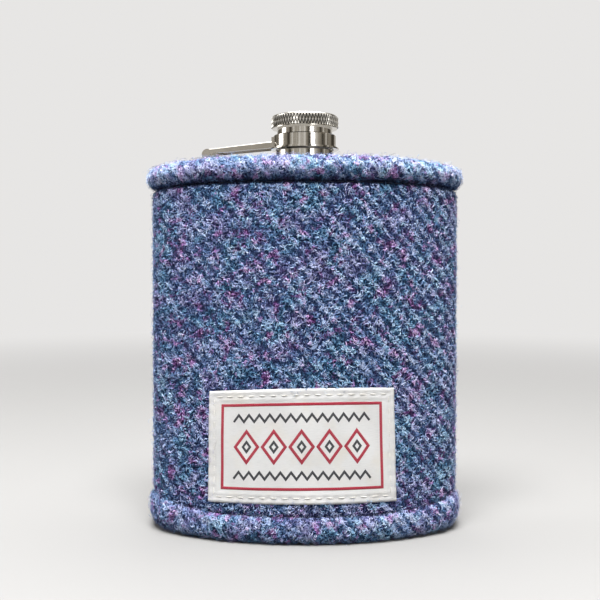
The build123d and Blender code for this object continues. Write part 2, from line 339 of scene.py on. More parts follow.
tweed = {
    "warpPitch": around / 216,  # 216 ends round the sleeve, so that the twill meets itself
    "weftPitch": 1.23,
    "relief": 0.2,
    "groundGrain": 2.2,
    "groundTone": -0.07,
    "wale": 0.1,
    "waleTone": 0.06,
    "tuftTone": 0.085,
    "hairTone": 0.07,
    # where each starts and is full, and how much paler it is: painted light on the top edge, painted shade
    # on its crown and in the top ditch, and painted light on the bottom edge's upper face, this far below
    # its ditch
    "litTopEdge": (111.8, 114.5, 0.18),
    "crown": (116.2, 118.2, -0.12),
    "ditch": (1.2, 0.4, -0.3),
    "shoulder": (1.9, 0.7, 0.09),
    "below": 1.9,
    # tints from the darkest wool to the palest
    "tints": {
        "blue": [(0.0, (0.004, 0.01, 0.04)), (0.25, (0.035, 0.073, 0.18)), (0.5, (0.123, 0.218, 0.43)),
                 (0.75, (0.345, 0.45, 0.69)), (1.0, (0.62, 0.66, 0.8))],
        "lilac": [(0.0, (0.006, 0.007, 0.035)), (0.3, (0.065, 0.068, 0.195)), (0.6, (0.27, 0.28, 0.53)),
                  (1.0, (0.58, 0.6, 0.82))],
        "teal": [(0.0, (0.003, 0.014, 0.034)), (0.3, (0.028, 0.087, 0.187)), (0.6, (0.132, 0.308, 0.505)),
                 (1.0, (0.56, 0.76, 0.93))],
        "orchid": [(0.0, (0.014, 0.003, 0.025)), (0.3, (0.122, 0.042, 0.168)), (0.6, (0.4, 0.2, 0.49)),
                   (1.0, (0.76, 0.59, 0.84))],
    },
    # tint, seed, patches per millimetre, and where the patch starts and is full
    "patches": [
        ("lilac", 17.0, 0.12, 0.47, 0.61),
        ("teal", 71.0, 0.13, 0.47, 0.6),
        ("orchid", 133.0, 0.27, 0.54, 0.64),
    ],
    "ragged": 0.09,
    # the shares of a fibre's tone: its own, its clump's (painted shade in the pits between clumps, painted
    # light on them), the slow drift of the dyeing
    "own": 0.2,
    "clump": 0.53,
    "drift": 0.15,
    # how far the wales show through the felting, left and right on the front
    "shown": (0.15, 0.95),
    "finish": {"Specular IOR Level": 0.08, "Sheen Weight": 0.2, "Sheen Roughness": 0.5,
               "Sheen Tint": (0.5, 0.6, 1.0)},
}
warp, weft = tweed["warpPitch"], tweed["weftPitch"]


def twillHeight(u, v):
    # 1 on the crown of the yarn on top, 0 in the gaps
    i, j = np.floor(u / warp), np.floor(v / weft)
    across = np.cos(pi * (u / warp - i - 0.5))
    along = np.cos(pi * (v / weft - j - 0.5))
    warpUp = ((i + j) % 4) < 2
    return np.where(warpUp, across, along) * 0.7 + 0.3 * np.minimum(across, along)


def waleHeight(u, v):
    # 1 along the middle of each diagonal wale of the twill
    return 0.5 + 0.5 * np.cos(2 * pi * (u / warp + v / weft) / 4)


def lattice(u, v, size, seed):
    # a smooth random field from 0 to 1 that meets itself round the sleeve
    across = int(round(around / size))
    values = np.random.default_rng(seed).uniform(0, 1, (128, across))
    return between(values, u * across / around, v / size, ease=True)


def clumps(u, v):
    # 1 on a clump of felted wool, 0 in the pits between; the clumps sit on the wales
    field = 0.46 * lattice(u, 1.4 * v, 2.4, 7) + 0.5 * lattice(u, 1.5 * v, 1.2, 8)
    field = field + 0.04 * lattice(u, v, 4.0, 9)
    left, right = tweed["shown"]
    rightward = 0.5 + 0.5 * np.sin(2 * pi * (u - around / 2) / around)
    shown = left + (right - left) * rightward ** 1.5
    woven = 0.5 * (twillHeight(u, v) - 0.5) + shown * (waleHeight(u, v) - 0.5)
    return np.clip((field - 0.5) * 1.7 + 0.5 + woven, 0, 1)


def heather(tone, place, own):
    # tone runs from dark to pale; patches of lilac, teal and orchid wool lie over the blue, ragged,
    # because own takes single fibres in and out of them
    tints = tweed["tints"]
    colour = ramp(tone, tints["blue"])
    for name, seed, scale, low, high in tweed["patches"]:
        patch = noise(vectors("ADD", place, (seed, seed / 3, -seed)), scale, 5.0, 0.62, 0.4)
        turn = total(maths("FRACT", times(own, seed)), -0.5)
        ragged = maths("MULTIPLY_ADD", turn, tweed["ragged"], patch)
        colour = mixColour(step(ragged, low, high), colour, ramp(tone, tints[name]))
    return colour


def paintedLightAndShade(tone, place):
    # painted light along the two edges, painted shade on the top crown and down in the top ditch; all
    # follow the edges' rise and droop
    x, y, z = apart(place)
    across = maths("DIVIDE", maths("ABSOLUTE", x), lift["reach"])
    atEnd = maths("POWER", maths("MINIMUM", across, 1.0), 4.0)
    height = maths("MULTIPLY_ADD", atEnd, -lift["topDitch"], z)
    low = maths("MULTIPLY_ADD", atEnd, -lift["bottomDitch"], z)
    offShoulder = maths("ABSOLUTE", total(low, tweed["below"] - foot))
    offDitch = maths("ABSOLUTE", total(height, -ditch))
    # painted light on the top edge and the bottom shoulder, painted shade on the crown and in the top ditch
    zones = {"shoulder": offShoulder, "litTopEdge": height, "crown": height, "ditch": offDitch}
    for name, value in zones.items():
        low, full, amount = tweed[name]
        tone = total(tone, times(step(value, low, full), amount))
    return tone


def fibreMaterial(name, paler):
    # each tuft or hair has its own tone, and the patches of the ground run on through them
    material, tree = newMaterial(name)
    place = millimetrePlace(tree)
    own = add(tree, "NewGeometry").outputs["Random Per Island"]
    clump = add(tree, "Attribute", attribute_name="clump").outputs["Fac"]
    x, y, z = apart(clothPlace(tree))
    turn = total(times(x, pi / 2 / warp), times(y, pi / 2 / weft))
    # the clump's share is painted shade in the pits between clumps and painted light on the clumps
    tone = total(
        times(own, tweed["own"]), times(clump, tweed["clump"]),
        times(noise(place, 0.09, 3.0, 0.6), tweed["drift"]),
        times(maths("COSINE", turn), tweed["waleTone"]), paler,
    )
    colour = heather(paintedLightAndShade(tone, place), place, own)
    finish(colour, 0.95, noise(place, 9.0), 0.06, 0.6, tweed["finish"])
    return material


# the woven ground: 2/2 twill of heathered yarn, with painted shade in the gaps between yarns
tweedCloth, tree = newMaterial("tweedCloth")
flat, place = clothPlace(tree), millimetrePlace(tree)
drift = vectors("ADD", noise(flat, 1.1, 2.0, 0.6, output="Color"), (-0.5, -0.5, -0.5))
x, y, z = apart(vectors("MULTIPLY_ADD", drift, (1.2, 1.2, 0), flat))
along, across = maths("DIVIDE", y, weft), maths("DIVIDE", x, warp)
steps = total(maths("FLOOR", across), maths("FLOOR", along))
warpUp = maths("LESS_THAN", maths("FRACT", maths("DIVIDE", steps, 4.0)), 0.49)
crowns = [maths("COSINE", times(total(maths("FRACT", value), -0.5), pi)) for value in (along, across)]
yarn = add(tree, "Mix", {0: warpUp, 2: crowns[0], 3: crowns[1]}, data_type="FLOAT").outputs[0]
grain = noise(flat, 1.5, 4.0, 0.7, 0.8)
# the yarn's share is painted light on the yarns' crowns and painted shade in the gaps between them
tone = total(times(total(grain, -0.5), tweed["groundGrain"]),
             times(yarn, 0.3), times(warpUp, -tweed["wale"]), tweed["groundTone"])
colour = heather(paintedLightAndShade(tone, place), place, noise(flat, 0.9))
finish(colour, 0.95, total(times(yarn, 0.5), grain), 0.5, 0.9, tweed["finish"])
tuftWool = fibreMaterial("tuftWool", tweed["tuftTone"])
hairWool = fibreMaterial("hairWool", tweed["hairTone"])

wrap = {
    "low": 7.0,
    "high": 111.6,
    "columns": 432,
    "loft": 0.1,
    # the seam up the middle of the back: how deep and how wide
    "seamDip": 0.7,
    "seamWidth": 0.7,
    # drawn in at each stitched ditch: from how far off it, over what reach, how deep
    "topDraw": (0.2, 2.2, 2.0),
    "bottomDraw": (0.1, 2.6, 1.0),
    # uneven here and there: how much, how long, seed
    "uneven": [(0.08, 25, 3), (0.05, 2.0, 5)],
}


def endLift(u, amount):
    return amount * np.minimum(1, np.abs(section(u)[0]) / lift["reach"]) ** 4


def seamDistance(u):
    # from the seam up the middle of the back
    return np.abs((u + around / 2) % around - around / 2)


def drawnIn(off, start, reach, deep):
    # falls away to its full depth in a quarter round
    share = np.clip((off - start) / reach, 0, 1)
    return deep * (1 - np.sqrt(1 - (1 - share) ** 2))


def wrapOut(u, v):
    # how far the cloth stands out: full between the two stitched ditches, drawn in at them
    drawn = drawnIn(ditch + endLift(u, lift["topDitch"]) - v, *wrap["topDraw"])
    drawn = drawn + drawnIn(v - foot - endLift(u, lift["bottomDitch"]), *wrap["bottomDraw"])
    seam = wrap["seamDip"] * np.exp(-(seamDistance(u) / wrap["seamWidth"]) ** 2)
    return layer["cloth"] + wrap["loft"] - np.maximum(drawn, seam)


def smoothNoise(u, v, size, seed):
    # gentle unevenness from a few waves that meet themselves round the sleeve
    rng, waves = np.random.default_rng(seed), 14
    unevenness = np.zeros(np.broadcast(u, v).shape)
    for k in range(waves):
        turns = rng.integers(1, max(2, int(around / size)))
        up = rng.uniform(-1, 1) / size
        unevenness += np.sin(2 * pi * (turns * u / around + up * v) + rng.uniform(0, 6.28))
    return unevenness / waves ** 0.5


columns, pitch = wrap["columns"], weft / 2
rows = int((wrap["high"] - wrap["low"]) / pitch) + 1
u, v = np.meshgrid(np.arange(columns) * around / columns, wrap["low"] + np.arange(rows) * pitch)
out = wrapOut(u, v) + tweed["relief"] * (twillHeight(u, v) - 0.5)
for amount, size, seed in wrap["uneven"]:
    out = out + amount * smoothNoise(u, v, size, seed)
rims = [0, -1]
inner = onSleeve(u[rims], v[rims], layer["lining"] + 0.1)
count, last = rows * columns, (rows - 1) * columns
faces = np.concatenate([
    gridFaces(columns, rows),
    links(count, count + columns, columns, (1, 0, 3, 2)),  # the side on the lining
    links(0, count, columns, (0, 3, 2, 1)),
    links(last, count + columns, columns, (1, 2, 3, 0)),
])
tweedWrap = makePiece("tweedWrap", np.concatenate([onSleeve(u, v, out), inner]), faces, tweedCloth)
flatU, flatV = (np.concatenate([flat, flat[rims]]).ravel()[faces] for flat in (u, v))
meets = (np.ptp(flatU, 1) > around / 2)[:, None] & (flatU < around / 2)
addMap(tweedWrap, "cloth", np.stack([flatU + around * meets, flatV], -1))
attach(tweedWrap, "flask")
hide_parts("tweed_wall")
print("wrap made")


def smoothLoop(points, count):
    # a closed curve through the points
    points = np.asarray(points, float)
    t = np.arange(count) * len(points) / count
    i = t.astype(int)
    f = (t - i)[:, None]
    p0, p1, p2, p3 = (points[(i + d) % len(points)] for d in (-1, 0, 1, 2))
    return 0.5 * (2 * p1 + (p2 - p0) * f + (2 * p0 - 5 * p1 + 4 * p2 - p3) * f * f
                  + (3 * p1 - p0 - 3 * p2 + p3) * f ** 3)


def measure(loop):
    # a profile's distances, its heading with the cloth's face on the right, the order of its faces'
    # corners, and its way up or down the outside
    ahead, behind = np.roll(loop, -1, 0), np.roll(loop, 1, 0)
    rising = np.sign(np.sum(loop[:, 0] * ahead[:, 1] - ahead[:, 0] * loop[:, 1]))
    heading = (ahead - behind) * rising
    return {
        "loop": loop,
        "girth": np.concatenate([[0], np.cumsum(np.linalg.norm(ahead - loop, axis=1))]),
        "order": (0, 1, 2, 3) if rising > 0 else (3, 2, 1, 0),
        "heading": heading / np.linalg.norm(heading, axis=1)[:, None],
        "way": np.sign(loop[len(loop) // 4, 1] - loop[0, 1]) or 1.0,
    }


def sweepRound(name, loop, material, shape):
    # a closed profile carried round the sleeve; shape(u, girth, out, height) wobbles each ring
    columns, form = wrap["columns"], measure(loop)
    upward = form["girth"] * form["way"]
    u = np.arange(columns) * around / columns
    n = u + around / columns
    points, corners = [], []
    for k, (out, height) in enumerate(loop):
        ring, level = shape(u, form["girth"][k], out, height)
        points.append(onSleeve(u, level, ring))
        low, high = np.full(columns, upward[k]), np.full(columns, upward[k + 1])
        corner = np.stack([np.stack([u, n, n, u], -1), np.stack([low, low, high, high], -1)], -1)
        corners.append(corner[:, form["order"]])
    faces = gridFaces(columns, len(loop), joined=True, order=form["order"])
    piece = makePiece(name, points, faces, material)
    addMap(piece, "cloth", corners)
    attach(piece, "flask")
    return piece


def rollLevel(u, height):
    # each roll follows its edge and its ditch up or down round the ends
    low = height / foot
    high = (height - ditch) / (top - ditch)
    risen = lift["bottomEdge"] * (1 - low) + lift["bottomDitch"] * low
    drooped = lift["topDitch"] * (1 - high) + lift["topEdge"] * high
    return np.maximum(height + endLift(u, 1.0) * np.where(low < 1.5, risen, drooped), 0)


stuffing = {
    "rows": 24,
    "columns": 228,
    "scale": 100.0,  # the copy is simulated a hundred times as large
    "heldInside": 1.0,  # nearer the steel than this, the cloth is held
    "caught": 0.7,  # share of the places in the ditch where a stitch holds it
    "cloth": {"use_pressure": True, "uniform_pressure_force": 3.0, "shrink_min": -0.03,
              "tension_stiffness": 30.0, "compression_stiffness": 30.0, "bending_stiffness": 1.0},
    "frames": 20,
    "most": 0.6,
}


def stuffRoll(profile, seed):
    # how far each place swells: cloth simulation of a coarse copy, blown out against its stitches
    rows, columns = stuffing["rows"], stuffing["columns"]
    loop = smoothLoop(profile, rows)
    form = measure(loop)
    u = np.arange(columns) * around / columns
    start = np.stack([onSleeve(u, height, out) for out, height in loop]) * stuffing["scale"]
    faces = gridFaces(columns, rows, joined=True, order=form["order"])
    copy = makePiece("rollCopy", start, faces, tweedCloth)
    caught = np.random.default_rng(seed).uniform(0, 1, columns // 3).repeat(3) < stuffing["caught"]
    caught &= np.arange(columns) % 3 == 0
    held = [(out < stuffing["heldInside"]) | (caught & (k < 2)) for k, (out, height) in enumerate(loop)]
    copy.vertex_groups.new(name="held").add(np.flatnonzero(held).tolist(), 1.0, "REPLACE")
    cloth = copy.modifiers.new("cloth", "CLOTH")
    cloth.collision_settings.use_collision = False
    cloth.settings.vertex_group_mass = "held"
    cloth.settings.effector_weights.gravity = 0
    for name, value in stuffing["cloth"].items():
        setattr(cloth.settings, name, value)
    for number in range(1, stuffing["frames"] + 1):
        scene.frame_set(number)
    blown = copy.evaluated_get(bpy.context.evaluated_depsgraph_get()).to_mesh()
    points = np.empty(start.size)
    blown.vertices.foreach_get("co", points)
    moved = (points.reshape(start.shape) - start) / (mm * stuffing["scale"])
    bpy.data.objects.remove(copy, do_unlink=True)
    scene.frame_set(1)
    nx, ny = section(u)[2:]
    ahead, up = form["heading"].T[:, :, None]
    swell = moved[:, :, 0] * nx * up + moved[:, :, 1] * ny * up - moved[:, :, 2] * ahead
    return np.clip(swell, -stuffing["most"], stuffing["most"])


def onProfile(form, u, girth, out):
    # out and height of a place on the rolled edge, a little way off the cloth and its stuffing
    across, height, ahead, up = (np.interp(girth, form["girth"][:-1], column)
                                 for column in (*form["loop"].T, *form["heading"].T))
    rows, columns = form["swell"].shape
    off = out + between(form["swell"], u / around * columns, girth / form["girth"][-1] * rows)
    return across + up * off, rollLevel(u, height) - ahead * off


def makeRoll(name, profile, replaced, seed):
    form = measure(smoothLoop(profile, 44))
    form["swell"] = stuffRoll(profile, seed)
    print(name, "stuffed, it swells by", form["swell"].max().round(2))

    def shape(u, girth, out, height):
        girth = np.full(len(u), girth)
        relief = tweed["relief"] * (twillHeight(u, girth * form["way"]) - 0.5)
        ring, level = onProfile(form, u, girth, relief + 0.12 * smoothNoise(u, girth, 9, seed))
        return ring, np.maximum(level, 0)

    piece = sweepRound(name, form["loop"], tweedCloth, shape)
    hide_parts(replaced)
    return form


topForm = makeRoll("topRoll", [
    (0.5, ditch + 0.1), (1.9, ditch + 0.5), (3.1, ditch + 1.8), (3.65, ditch + 4.1), (3.35, top - 1.9),
    (2.4, top - 0.6), (1.3, top - 0.1), (0.45, top - 0.6), (0.12, top - 2.4), (0.12, ditch + 1.0),
], "top_binding", 11)
bottomForm = makeRoll("bottomRoll", [
    (1.6, foot + 0.3), (2.8, foot - 0.1), (3.7, foot - 1.4), (3.55, foot - 3.5), (2.5, foot - 6.2),
    (1.1, 0.4), (-0.5, 0.0), (-0.55, 1.5), (0.85, 2.2), (0.9, foot - 1.0),
], "bottom_binding", 23)
print("rolls made")

liningLow, liningHigh = span("lining")
baseLow, baseHigh = span("base_panel")
inside = {"liningThick": 0.6, "gap": 0.1, "corner": 1.0, "loose": 0.04,
          "panelInset": 0.7, "panelEdge": 0.5, "panelRelief": 0.06}
spine = 0.05 - half  # just short of the middle of the flask's thickness


def rounded(out, low, radius, count):
    # a quarter round from a flat foot up to its side
    return [(out - radius + radius * math.sin(a), low + radius - radius * math.cos(a))
            for a in np.linspace(0, pi / 2, count)]


# plain-woven cotton, a little creased
cotton, tree = newMaterial("liningCotton")
flat = clothPlace(tree)
slub = noise(flat, 0.8, 4.0, 0.6)
colour = ramp(slub, [(0.3, (0.02, 0.024, 0.045)), (0.7, (0.045, 0.052, 0.085))])
finish(colour, 0.9, total(weave(flat, 0.42, 0.38), slub), 0.05, 0.7)

# a bag round the steel: flat bottom, rounded foot, cut edge at the top
outer, inner = inside["gap"] + inside["liningThick"], inside["gap"]
low, high = liningLow.z, liningHigh.z
loop = [(spine, low)] + rounded(outer, low, inside["corner"], 6)
loop += [(outer, z) for z in np.linspace(low + 4, high, 28)]
loop += [(inner, z) for z in np.linspace(high, low + 4, 28)]
base = low + inside["liningThick"]
loop += [(inner, base + 0.4), (inner - 0.4, base), (spine, base)]


def bagShape(u, girth, out, height):
    wobble = inside["loose"] * smoothNoise(u, height, 14, 31) if out > 0.65 else 0.0
    return out + wobble, height


liningBag = sweepRound("liningBag", np.array(loop), cotton, bagShape)
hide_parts("lining")

# a tweed disc with a soft edge, tacked inside the bottom roll
rim, low, high = -inside["panelInset"], baseLow.z, baseHigh.z
edge = rounded(rim, low, inside["panelEdge"], 5)
across = np.linspace(spine + 1, rim - 1, 8)
loop = [(spine, low)] + [(out, low) for out in across] + edge
loop += [(out, low + high - z) for out, z in reversed(edge)]
loop += [(out, high) for out in reversed(across)] + [(spine, high)]


def panelShape(u, girth, out, height):
    relief = inside["panelRelief"] * (twillHeight(u, girth) - 0.5)
    return out, height + relief * (out > spine + 0.5)


basePanel = sweepRound("basePanel", np.array(loop), tweedCloth, panelShape)
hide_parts("base_panel")
print("lining and base panel made")

labelLow, labelHigh = span("label")
label = {
    "left": labelLow.x - 0.75,
    "low": labelLow.z,
    "width": labelHigh.x - labelLow.x + 1.1,
    "height": labelHigh.z - labelLow.z,
    "thick": 0.4,
    "out": 2.72,
    "grid": (135, 83),
    "overlap": 0.5,  # the wool runs on this far under its edge
    "tilt": math.radians(0.35),
    "topSag": 0.95,
    "topTurn": 0.45,
    "drop": 0.55,
    "bottomSag": 0.25,
    "flare": 0.025,
    # the hem: how far in, how much thicker, and how soft its step
    "hem": 3.4,
    "hemRise": 0.12,
    "hemStep": 0.15,
    "stitchInset": 1.9,
    "stitch": 2.3,
    "gap": 1.0,
    # at the stitches: the seam's draw, ripple and half width; the lip's ripple and reach
    "pull": (0.1, 0.05, 0.7),
    "lip": (0.07, 0.9),
    "slack": (0.1, 0.05),
    "edgeTurn": (-0.22, 0.45),
    "ground": (0.68, 0.676, 0.67),
    "crimson": (0.36, 0.012, 0.035),
    "charcoal": (0.028, 0.028, 0.034),
}
labelMiddle = around / 2 + clothRadius * math.asin((label["left"] + label["width"] / 2) / clothRadius)


def labelToCloth(s, t):
    # from the label's middle to a place on the cloth; its upper corners are drawn down by the sewing
    cos, sin = math.cos(label["tilt"]), math.sin(label["tilt"])
    side, share = 2 * s / label["width"], t / label["height"] + 0.5
    s = s * (1 + label["flare"] * (0.5 - share))
    t = t - share * (label["topSag"] * side ** 2 - label["topTurn"] * side)
    t = t - (1 - share) * (label["drop"] + label["bottomSag"] * side ** 2)
    return labelMiddle + s * cos - t * sin, label["low"] + label["height"] / 2 + s * sin + t * cos


def edgeDistances(s, t):
    return label["width"] / 2 - np.abs(s), label["height"] / 2 - np.abs(t)


def underLabel(u, v):
    middle = label["low"] + label["height"] / 2
    return np.minimum(*edgeDistances(u - labelMiddle, v - middle)) > label["overlap"]


def labelRise(s, t):
    # the label's face above the cloth: doubled at the hem, drawn down by each stitch, slack between
    fromSide, fromTop = edgeDistances(s, t)
    edge = np.minimum(fromSide, fromTop)
    along = 2 * pi * np.where(fromSide < fromTop, t, s) / (label["stitch"] + label["gap"])
    draw, ripple, reach = label["pull"]
    pull = np.exp(-((edge - label["stitchInset"]) / reach) ** 2) * (draw + ripple * np.cos(along))
    hem = label["hemRise"] / (1 + np.exp((edge - label["hem"]) / label["hemStep"]))
    broad, small = label["slack"]
    slack = broad * np.sin(s / 5.3 + 0.7) * np.sin(t / 4.1 + 0.4) + small * np.sin(s / 2.1 + t / 3.3)
    lip = label["lip"][0] * np.cos(along + 2.0) * np.exp(-edge / label["lip"][1])
    return hem - pull + slack + lip


def onLabel(s, t, out):
    u, v = labelToCloth(s, t)
    return onSleeve(u, v, label["out"] + label["thick"] + labelRise(s, t) + out)


def threadMaterial(name, colour, pitch):
    # satin thread: fine ridges that cross the line of stitching, with painted light on their crests and
    # painted shade between them
    material, tree = newMaterial(name)
    flat = clothPlace(tree)
    ridges = wave(apart(flat)[0], pitch)
    # painted light on the ridges' crests and painted shade between them
    tone = total(times(ridges, 0.2), noise(flat, 3.0))
    pale = tuple(min(1, 1.25 * part + 0.01) for part in colour)
    colour = ramp(tone, [(0.3, shade(colour, 0.6)), (0.5, colour), (0.75, pale)])
    finish(colour, 0.55, ridges, 0.04, 0.7, {"Sheen Weight": 0.15})
    return material


def densely(path, spacing):
    # points every spacing along a path, corners kept
    path, found = np.array(path, float), []
    for a, b in zip(path[:-1], path[1:]):
        parts = max(1, int(np.linalg.norm(b - a) / spacing))
        found.append(a + (b - a) * np.arange(parts)[:, None] / parts)
    return np.concatenate(found + [path[-1:]])


def unit(vectors):
    return vectors / np.maximum(1e-9, np.linalg.norm(vectors, axis=-1, keepdims=True))


def makeThreads(name, paths, width, rise, material):
    # raised lines of satin stitch along the paths, each a strip with a rounded back
    share, up = np.array([(-1, 0.0), (-0.6, 0.8), (0, 1.0), (0.6, 0.8), (1, 0.0)]).T
    points, faces, flat = [], [], []
    for path in paths:
        closed = path[0] == path[-1]
        line = densely(path, 0.5)[: -1 if closed else None]
        ahead = unit(np.roll(line, -1, 0) - line)
        behind = np.roll(ahead, 1, 0)
        if not closed:
            ahead[-1], behind[0] = behind[-1], ahead[0]
        heading = unit(ahead + behind)
        mitre = 1 / np.maximum(0.4, np.sum(heading * ahead, 1))[:, None]
        side = np.stack([-heading[:, 1], heading[:, 0]], -1) * width / 2 * mitre
        spots = line[:, None] + side[:, None] * share[:, None]
        lengths = np.linalg.norm(np.diff(line, axis=0), axis=1)
        travelled = np.concatenate([[0], np.cumsum(lengths)])[:, None]
        faces.append(gridFaces(5, len(line), False, closed, (0, 3, 2, 1)) + 5 * sum(map(len, points)))
        points.append(onLabel(spots[:, :, 0], spots[:, :, 1], up * rise - 0.02))
        flat.append(np.stack(np.broadcast_arrays(travelled, share * width), -1))
    points, faces, flat = (np.concatenate(parts) for parts in (points, faces, flat))
    piece = makePiece(name, points, faces, material, flat=flat.reshape(-1, 2))
    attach(piece, "flask")
    return piece


def makeStitches(name, spots, look, place, material):
    # each stitch is a short thread that dives in at both ends; spots hold its place and heading
    rings, sides = 7, 6
    a, b, heading = np.array(spots).T[:, :, None, None]
    share = np.linspace(0, 1, rings)[:, None]
    turn = 2 * pi * np.arange(sides) / sides
    arch = np.sin(pi * share)
    radius = look["radius"] * (0.55 + 0.45 * arch)
    reach, across = (share - 0.5) * look["stitch"], radius * np.cos(turn)
    out = look["rise"] * arch ** 0.5 - look["sunk"] + radius * np.sin(turn)
    cos, sin = np.cos(heading), np.sin(heading)
    points = place(a + cos * reach - sin * across, b + sin * reach + cos * across, out)
    one = gridFaces(sides, rings, order=(0, 3, 2, 1)).tolist()
    one += [list(range(sides)), list(range(rings * sides))[: -sides - 1 : -1]]
    size = rings * sides
    faces = [[start + corner for corner in face] for start in range(0, size * len(spots), size)
             for face in one]
    flat = np.stack(np.broadcast_arrays(share * look["stitch"], turn * radius), -1).reshape(-1, 2)
    piece = makePiece(name, points, faces, material, flat=np.tile(flat, (len(spots), 1)))
    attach(piece, "flask")
    return piece


def spread(path, pitch):
    # places and headings of stitches along the straight runs of a path
    spots = []
    for (x, y), (endX, endY) in zip(path[:-1], path[1:]):
        alongX, alongY = endX - x, endY - y
        count = max(1, round(math.hypot(alongX, alongY) / pitch))
        heading = math.atan2(alongY, alongX)
        spots += [(x + alongX * (k + 0.5) / count, y + alongY * (k + 0.5) / count, heading)
                  for k in range(count)]
    return spots


def frameAt(inset):
    x, y = label["width"] / 2 - inset, label["height"] / 2 - inset
    return [(-x, -y), (x, -y), (x, y), (-x, y), (-x, -y)]


def lozenges(wide, tall):
    middles = [pattern["pitch"] * k for k in range(-2, 3)]
    return [[(x - wide, 0), (x, -tall), (x + wide, 0), (x, tall), (x - wide, 0)] for x in middles]


def zigzag(height, reach, period, depth):
    count = int(round(2 * reach / period))
    stride = reach / count
    return [(-reach + k * stride, height + (depth if k % 2 else -depth)) for k in range(2 * count + 1)]


pattern = {
    "frame": 4.6,
    "pitch": 8.4,
    "lozenge": (3.5, 4.7),
    "kernel": (1.1, 1.5),
    "zigzagHeight": 8.7,
    "zigzag": (20.8, 3.2, 1.05),
    "rise": 0.09,
}
edgeStitch = {"stitch": label["stitch"], "rise": 0.14, "sunk": 0.1, "radius": 0.16}
ditchStitch = {"stitch": 2.4, "rise": 0.16, "sunk": 0.12, "radius": 0.17, "count": 76}
crimsonThread = threadMaterial("crimsonThread", label["crimson"], 0.3)
charcoalThread = threadMaterial("charcoalThread", label["charcoal"], 0.3)
creamThread = threadMaterial("creamThread", (0.7, 0.68, 0.63), 0.22)
navyThread = threadMaterial("navyThread", (0.02, 0.03, 0.07), 0.25)

# fine satin weave, creamy in places
labelWeave, tree = newMaterial("labelWeave")
flat = clothPlace(tree)
slub = noise(stretched(flat, (0.5, 6, 1)), 1.0, 3.0)
ground = label["ground"]
cream = (ground[0] * 0.97, ground[1] * 0.93, ground[2] * 0.86)
colour = mixColour(step(noise(flat, 0.12, 3.0, 0.5), 0.5, 0.75), ground, cream)
colour = mixColour(step(slub, 0.45, 0.85), colour, shade(ground, 0.86))
relief = total(weave(flat, 0.34, 0.24), times(slub, 2.0))
finish(colour, 0.7, relief, 0.03, 0.8, {"Sheen Weight": 0.1})

columns, rows = label["grid"]
s, t = np.meshgrid(np.linspace(-0.5, 0.5, columns) * label["width"],
                   np.linspace(-0.5, 0.5, rows) * label["height"])
most, reach = label["edgeTurn"]
turned = most * np.clip(1 - np.minimum(*edgeDistances(s, t)) / reach, 0, 1) ** 2
sides = [onLabel(s, t, turned), onSleeve(*labelToCloth(s, t), label["out"])]
front = gridFaces(columns, rows, closed=False)
count = columns * rows
grid = np.arange(count).reshape(rows, columns)
border = np.concatenate([grid[0, :-1], grid[:-1, -1], grid[-1, :0:-1], grid[:0:-1, 0]])
ahead = np.roll(border, -1)
rim = np.stack([border, border + count, ahead + count, ahead], -1)
faces = np.concatenate([front, front[:, ::-1] + count, rim])
flat = np.tile(np.stack([s.ravel(), t.ravel()], -1), (2, 1))
wovenLabel = makePiece("wovenLabel", sides, faces, labelWeave, flat=flat)
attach(wovenLabel, "flask")
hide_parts("label")
crimsonPaths = [frameAt(pattern["frame"])] + lozenges(*pattern["lozenge"])
crimsonLines = makeThreads("labelCrimson", crimsonPaths, 1.0, pattern["rise"], crimsonThread)
charcoalPaths = [zigzag(side * pattern["zigzagHeight"], *pattern["zigzag"]) for side in (-1, 1)]
charcoalPaths += lozenges(*pattern["kernel"])
charcoalLines = makeThreads("labelCharcoal", charcoalPaths, 0.8, pattern["rise"], charcoalThread)
edgeSpots = spread(frameAt(label["stitchInset"]), label["stitch"] + label["gap"])
labelStitches = makeStitches("labelStitches", edgeSpots, edgeStitch, onLabel, creamThread)
print("label made")


def onWrap(u, v, out):
    return onSleeve(u, v, wrapOut(u, v) + out)


# the seams that draw the cloth in above and below, deep in the ditches
ditchSpots = []
for height, amount in ((ditch - 0.35, lift["topDitch"]), (foot + 0.45, lift["bottomDitch"])):
    for k in range(ditchStitch["count"]):
        u = (k + 0.5) * around / ditchStitch["count"]
        ditchSpots.append((u, height + endLift(u, amount), 0.0))
makeStitches("ditchStitches", ditchSpots, ditchStitch, onWrap, navyThread)

neckLow, neckHigh = span("neck")
barrelLow = span("cap_barrel")[0]
thread = {
    "pitch": 1.5,
    "steps": 64,
    "neckRadius": 7.5,
    "barrelBore": 7.8,
    "ridge": 0.22,
    "root": 0.42,
    "crest": 0.16,
    "sunk": 0.02,
    "fade": 0.5,
}


def makeThreadRidge(name, radius, inward, start, end, phase, body):
    # a right-hand helical ridge that fades out at both ends
    centreY = (neckLow.y + neckHigh.y) / 2
    out = -1 if inward else 1
    turns = (end - start) / thread["pitch"]
    count = int(turns * thread["steps"])
    share = np.linspace(0, 1, count + 1)[:, None]
    angle = 2 * pi * turns * share + phase
    fade = np.minimum(1, np.minimum(share, 1 - share) * turns / (thread["fade"] / 2))
    sunk, tall = 0 * share - out * thread["sunk"], out * thread["ridge"] * fade
    r = radius + np.concatenate([sunk, tall, tall, sunk], 1)
    root, crest = thread["root"], thread["crest"]
    height = start + (end - start) * share + np.array([-root, -crest, crest, root])
    points = np.stack([r * np.cos(angle), centreY + r * np.sin(angle), height], -1) * mm
    faces = gridFaces(4, count + 1)[:, ::-out].tolist()
    last = count * 4
    faces += [ring[::out] for ring in ([0, 1, 2, 3], [last + 3, last + 2, last + 1, last])]
    piece = makePiece(name, points, faces, satin, smooth=False)
    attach(piece, body)


neckTop = neckHigh.z
makeThreadRidge("neckThread", thread["neckRadius"], False, neckTop - 6.4, neckTop - 0.9, 0.0,
                "flask")
makeThreadRidge("capThread", thread["barrelBore"], True, barrelLow.z + 0.5, neckTop - 0.9, pi,
                "cap")
print("screw threads made")


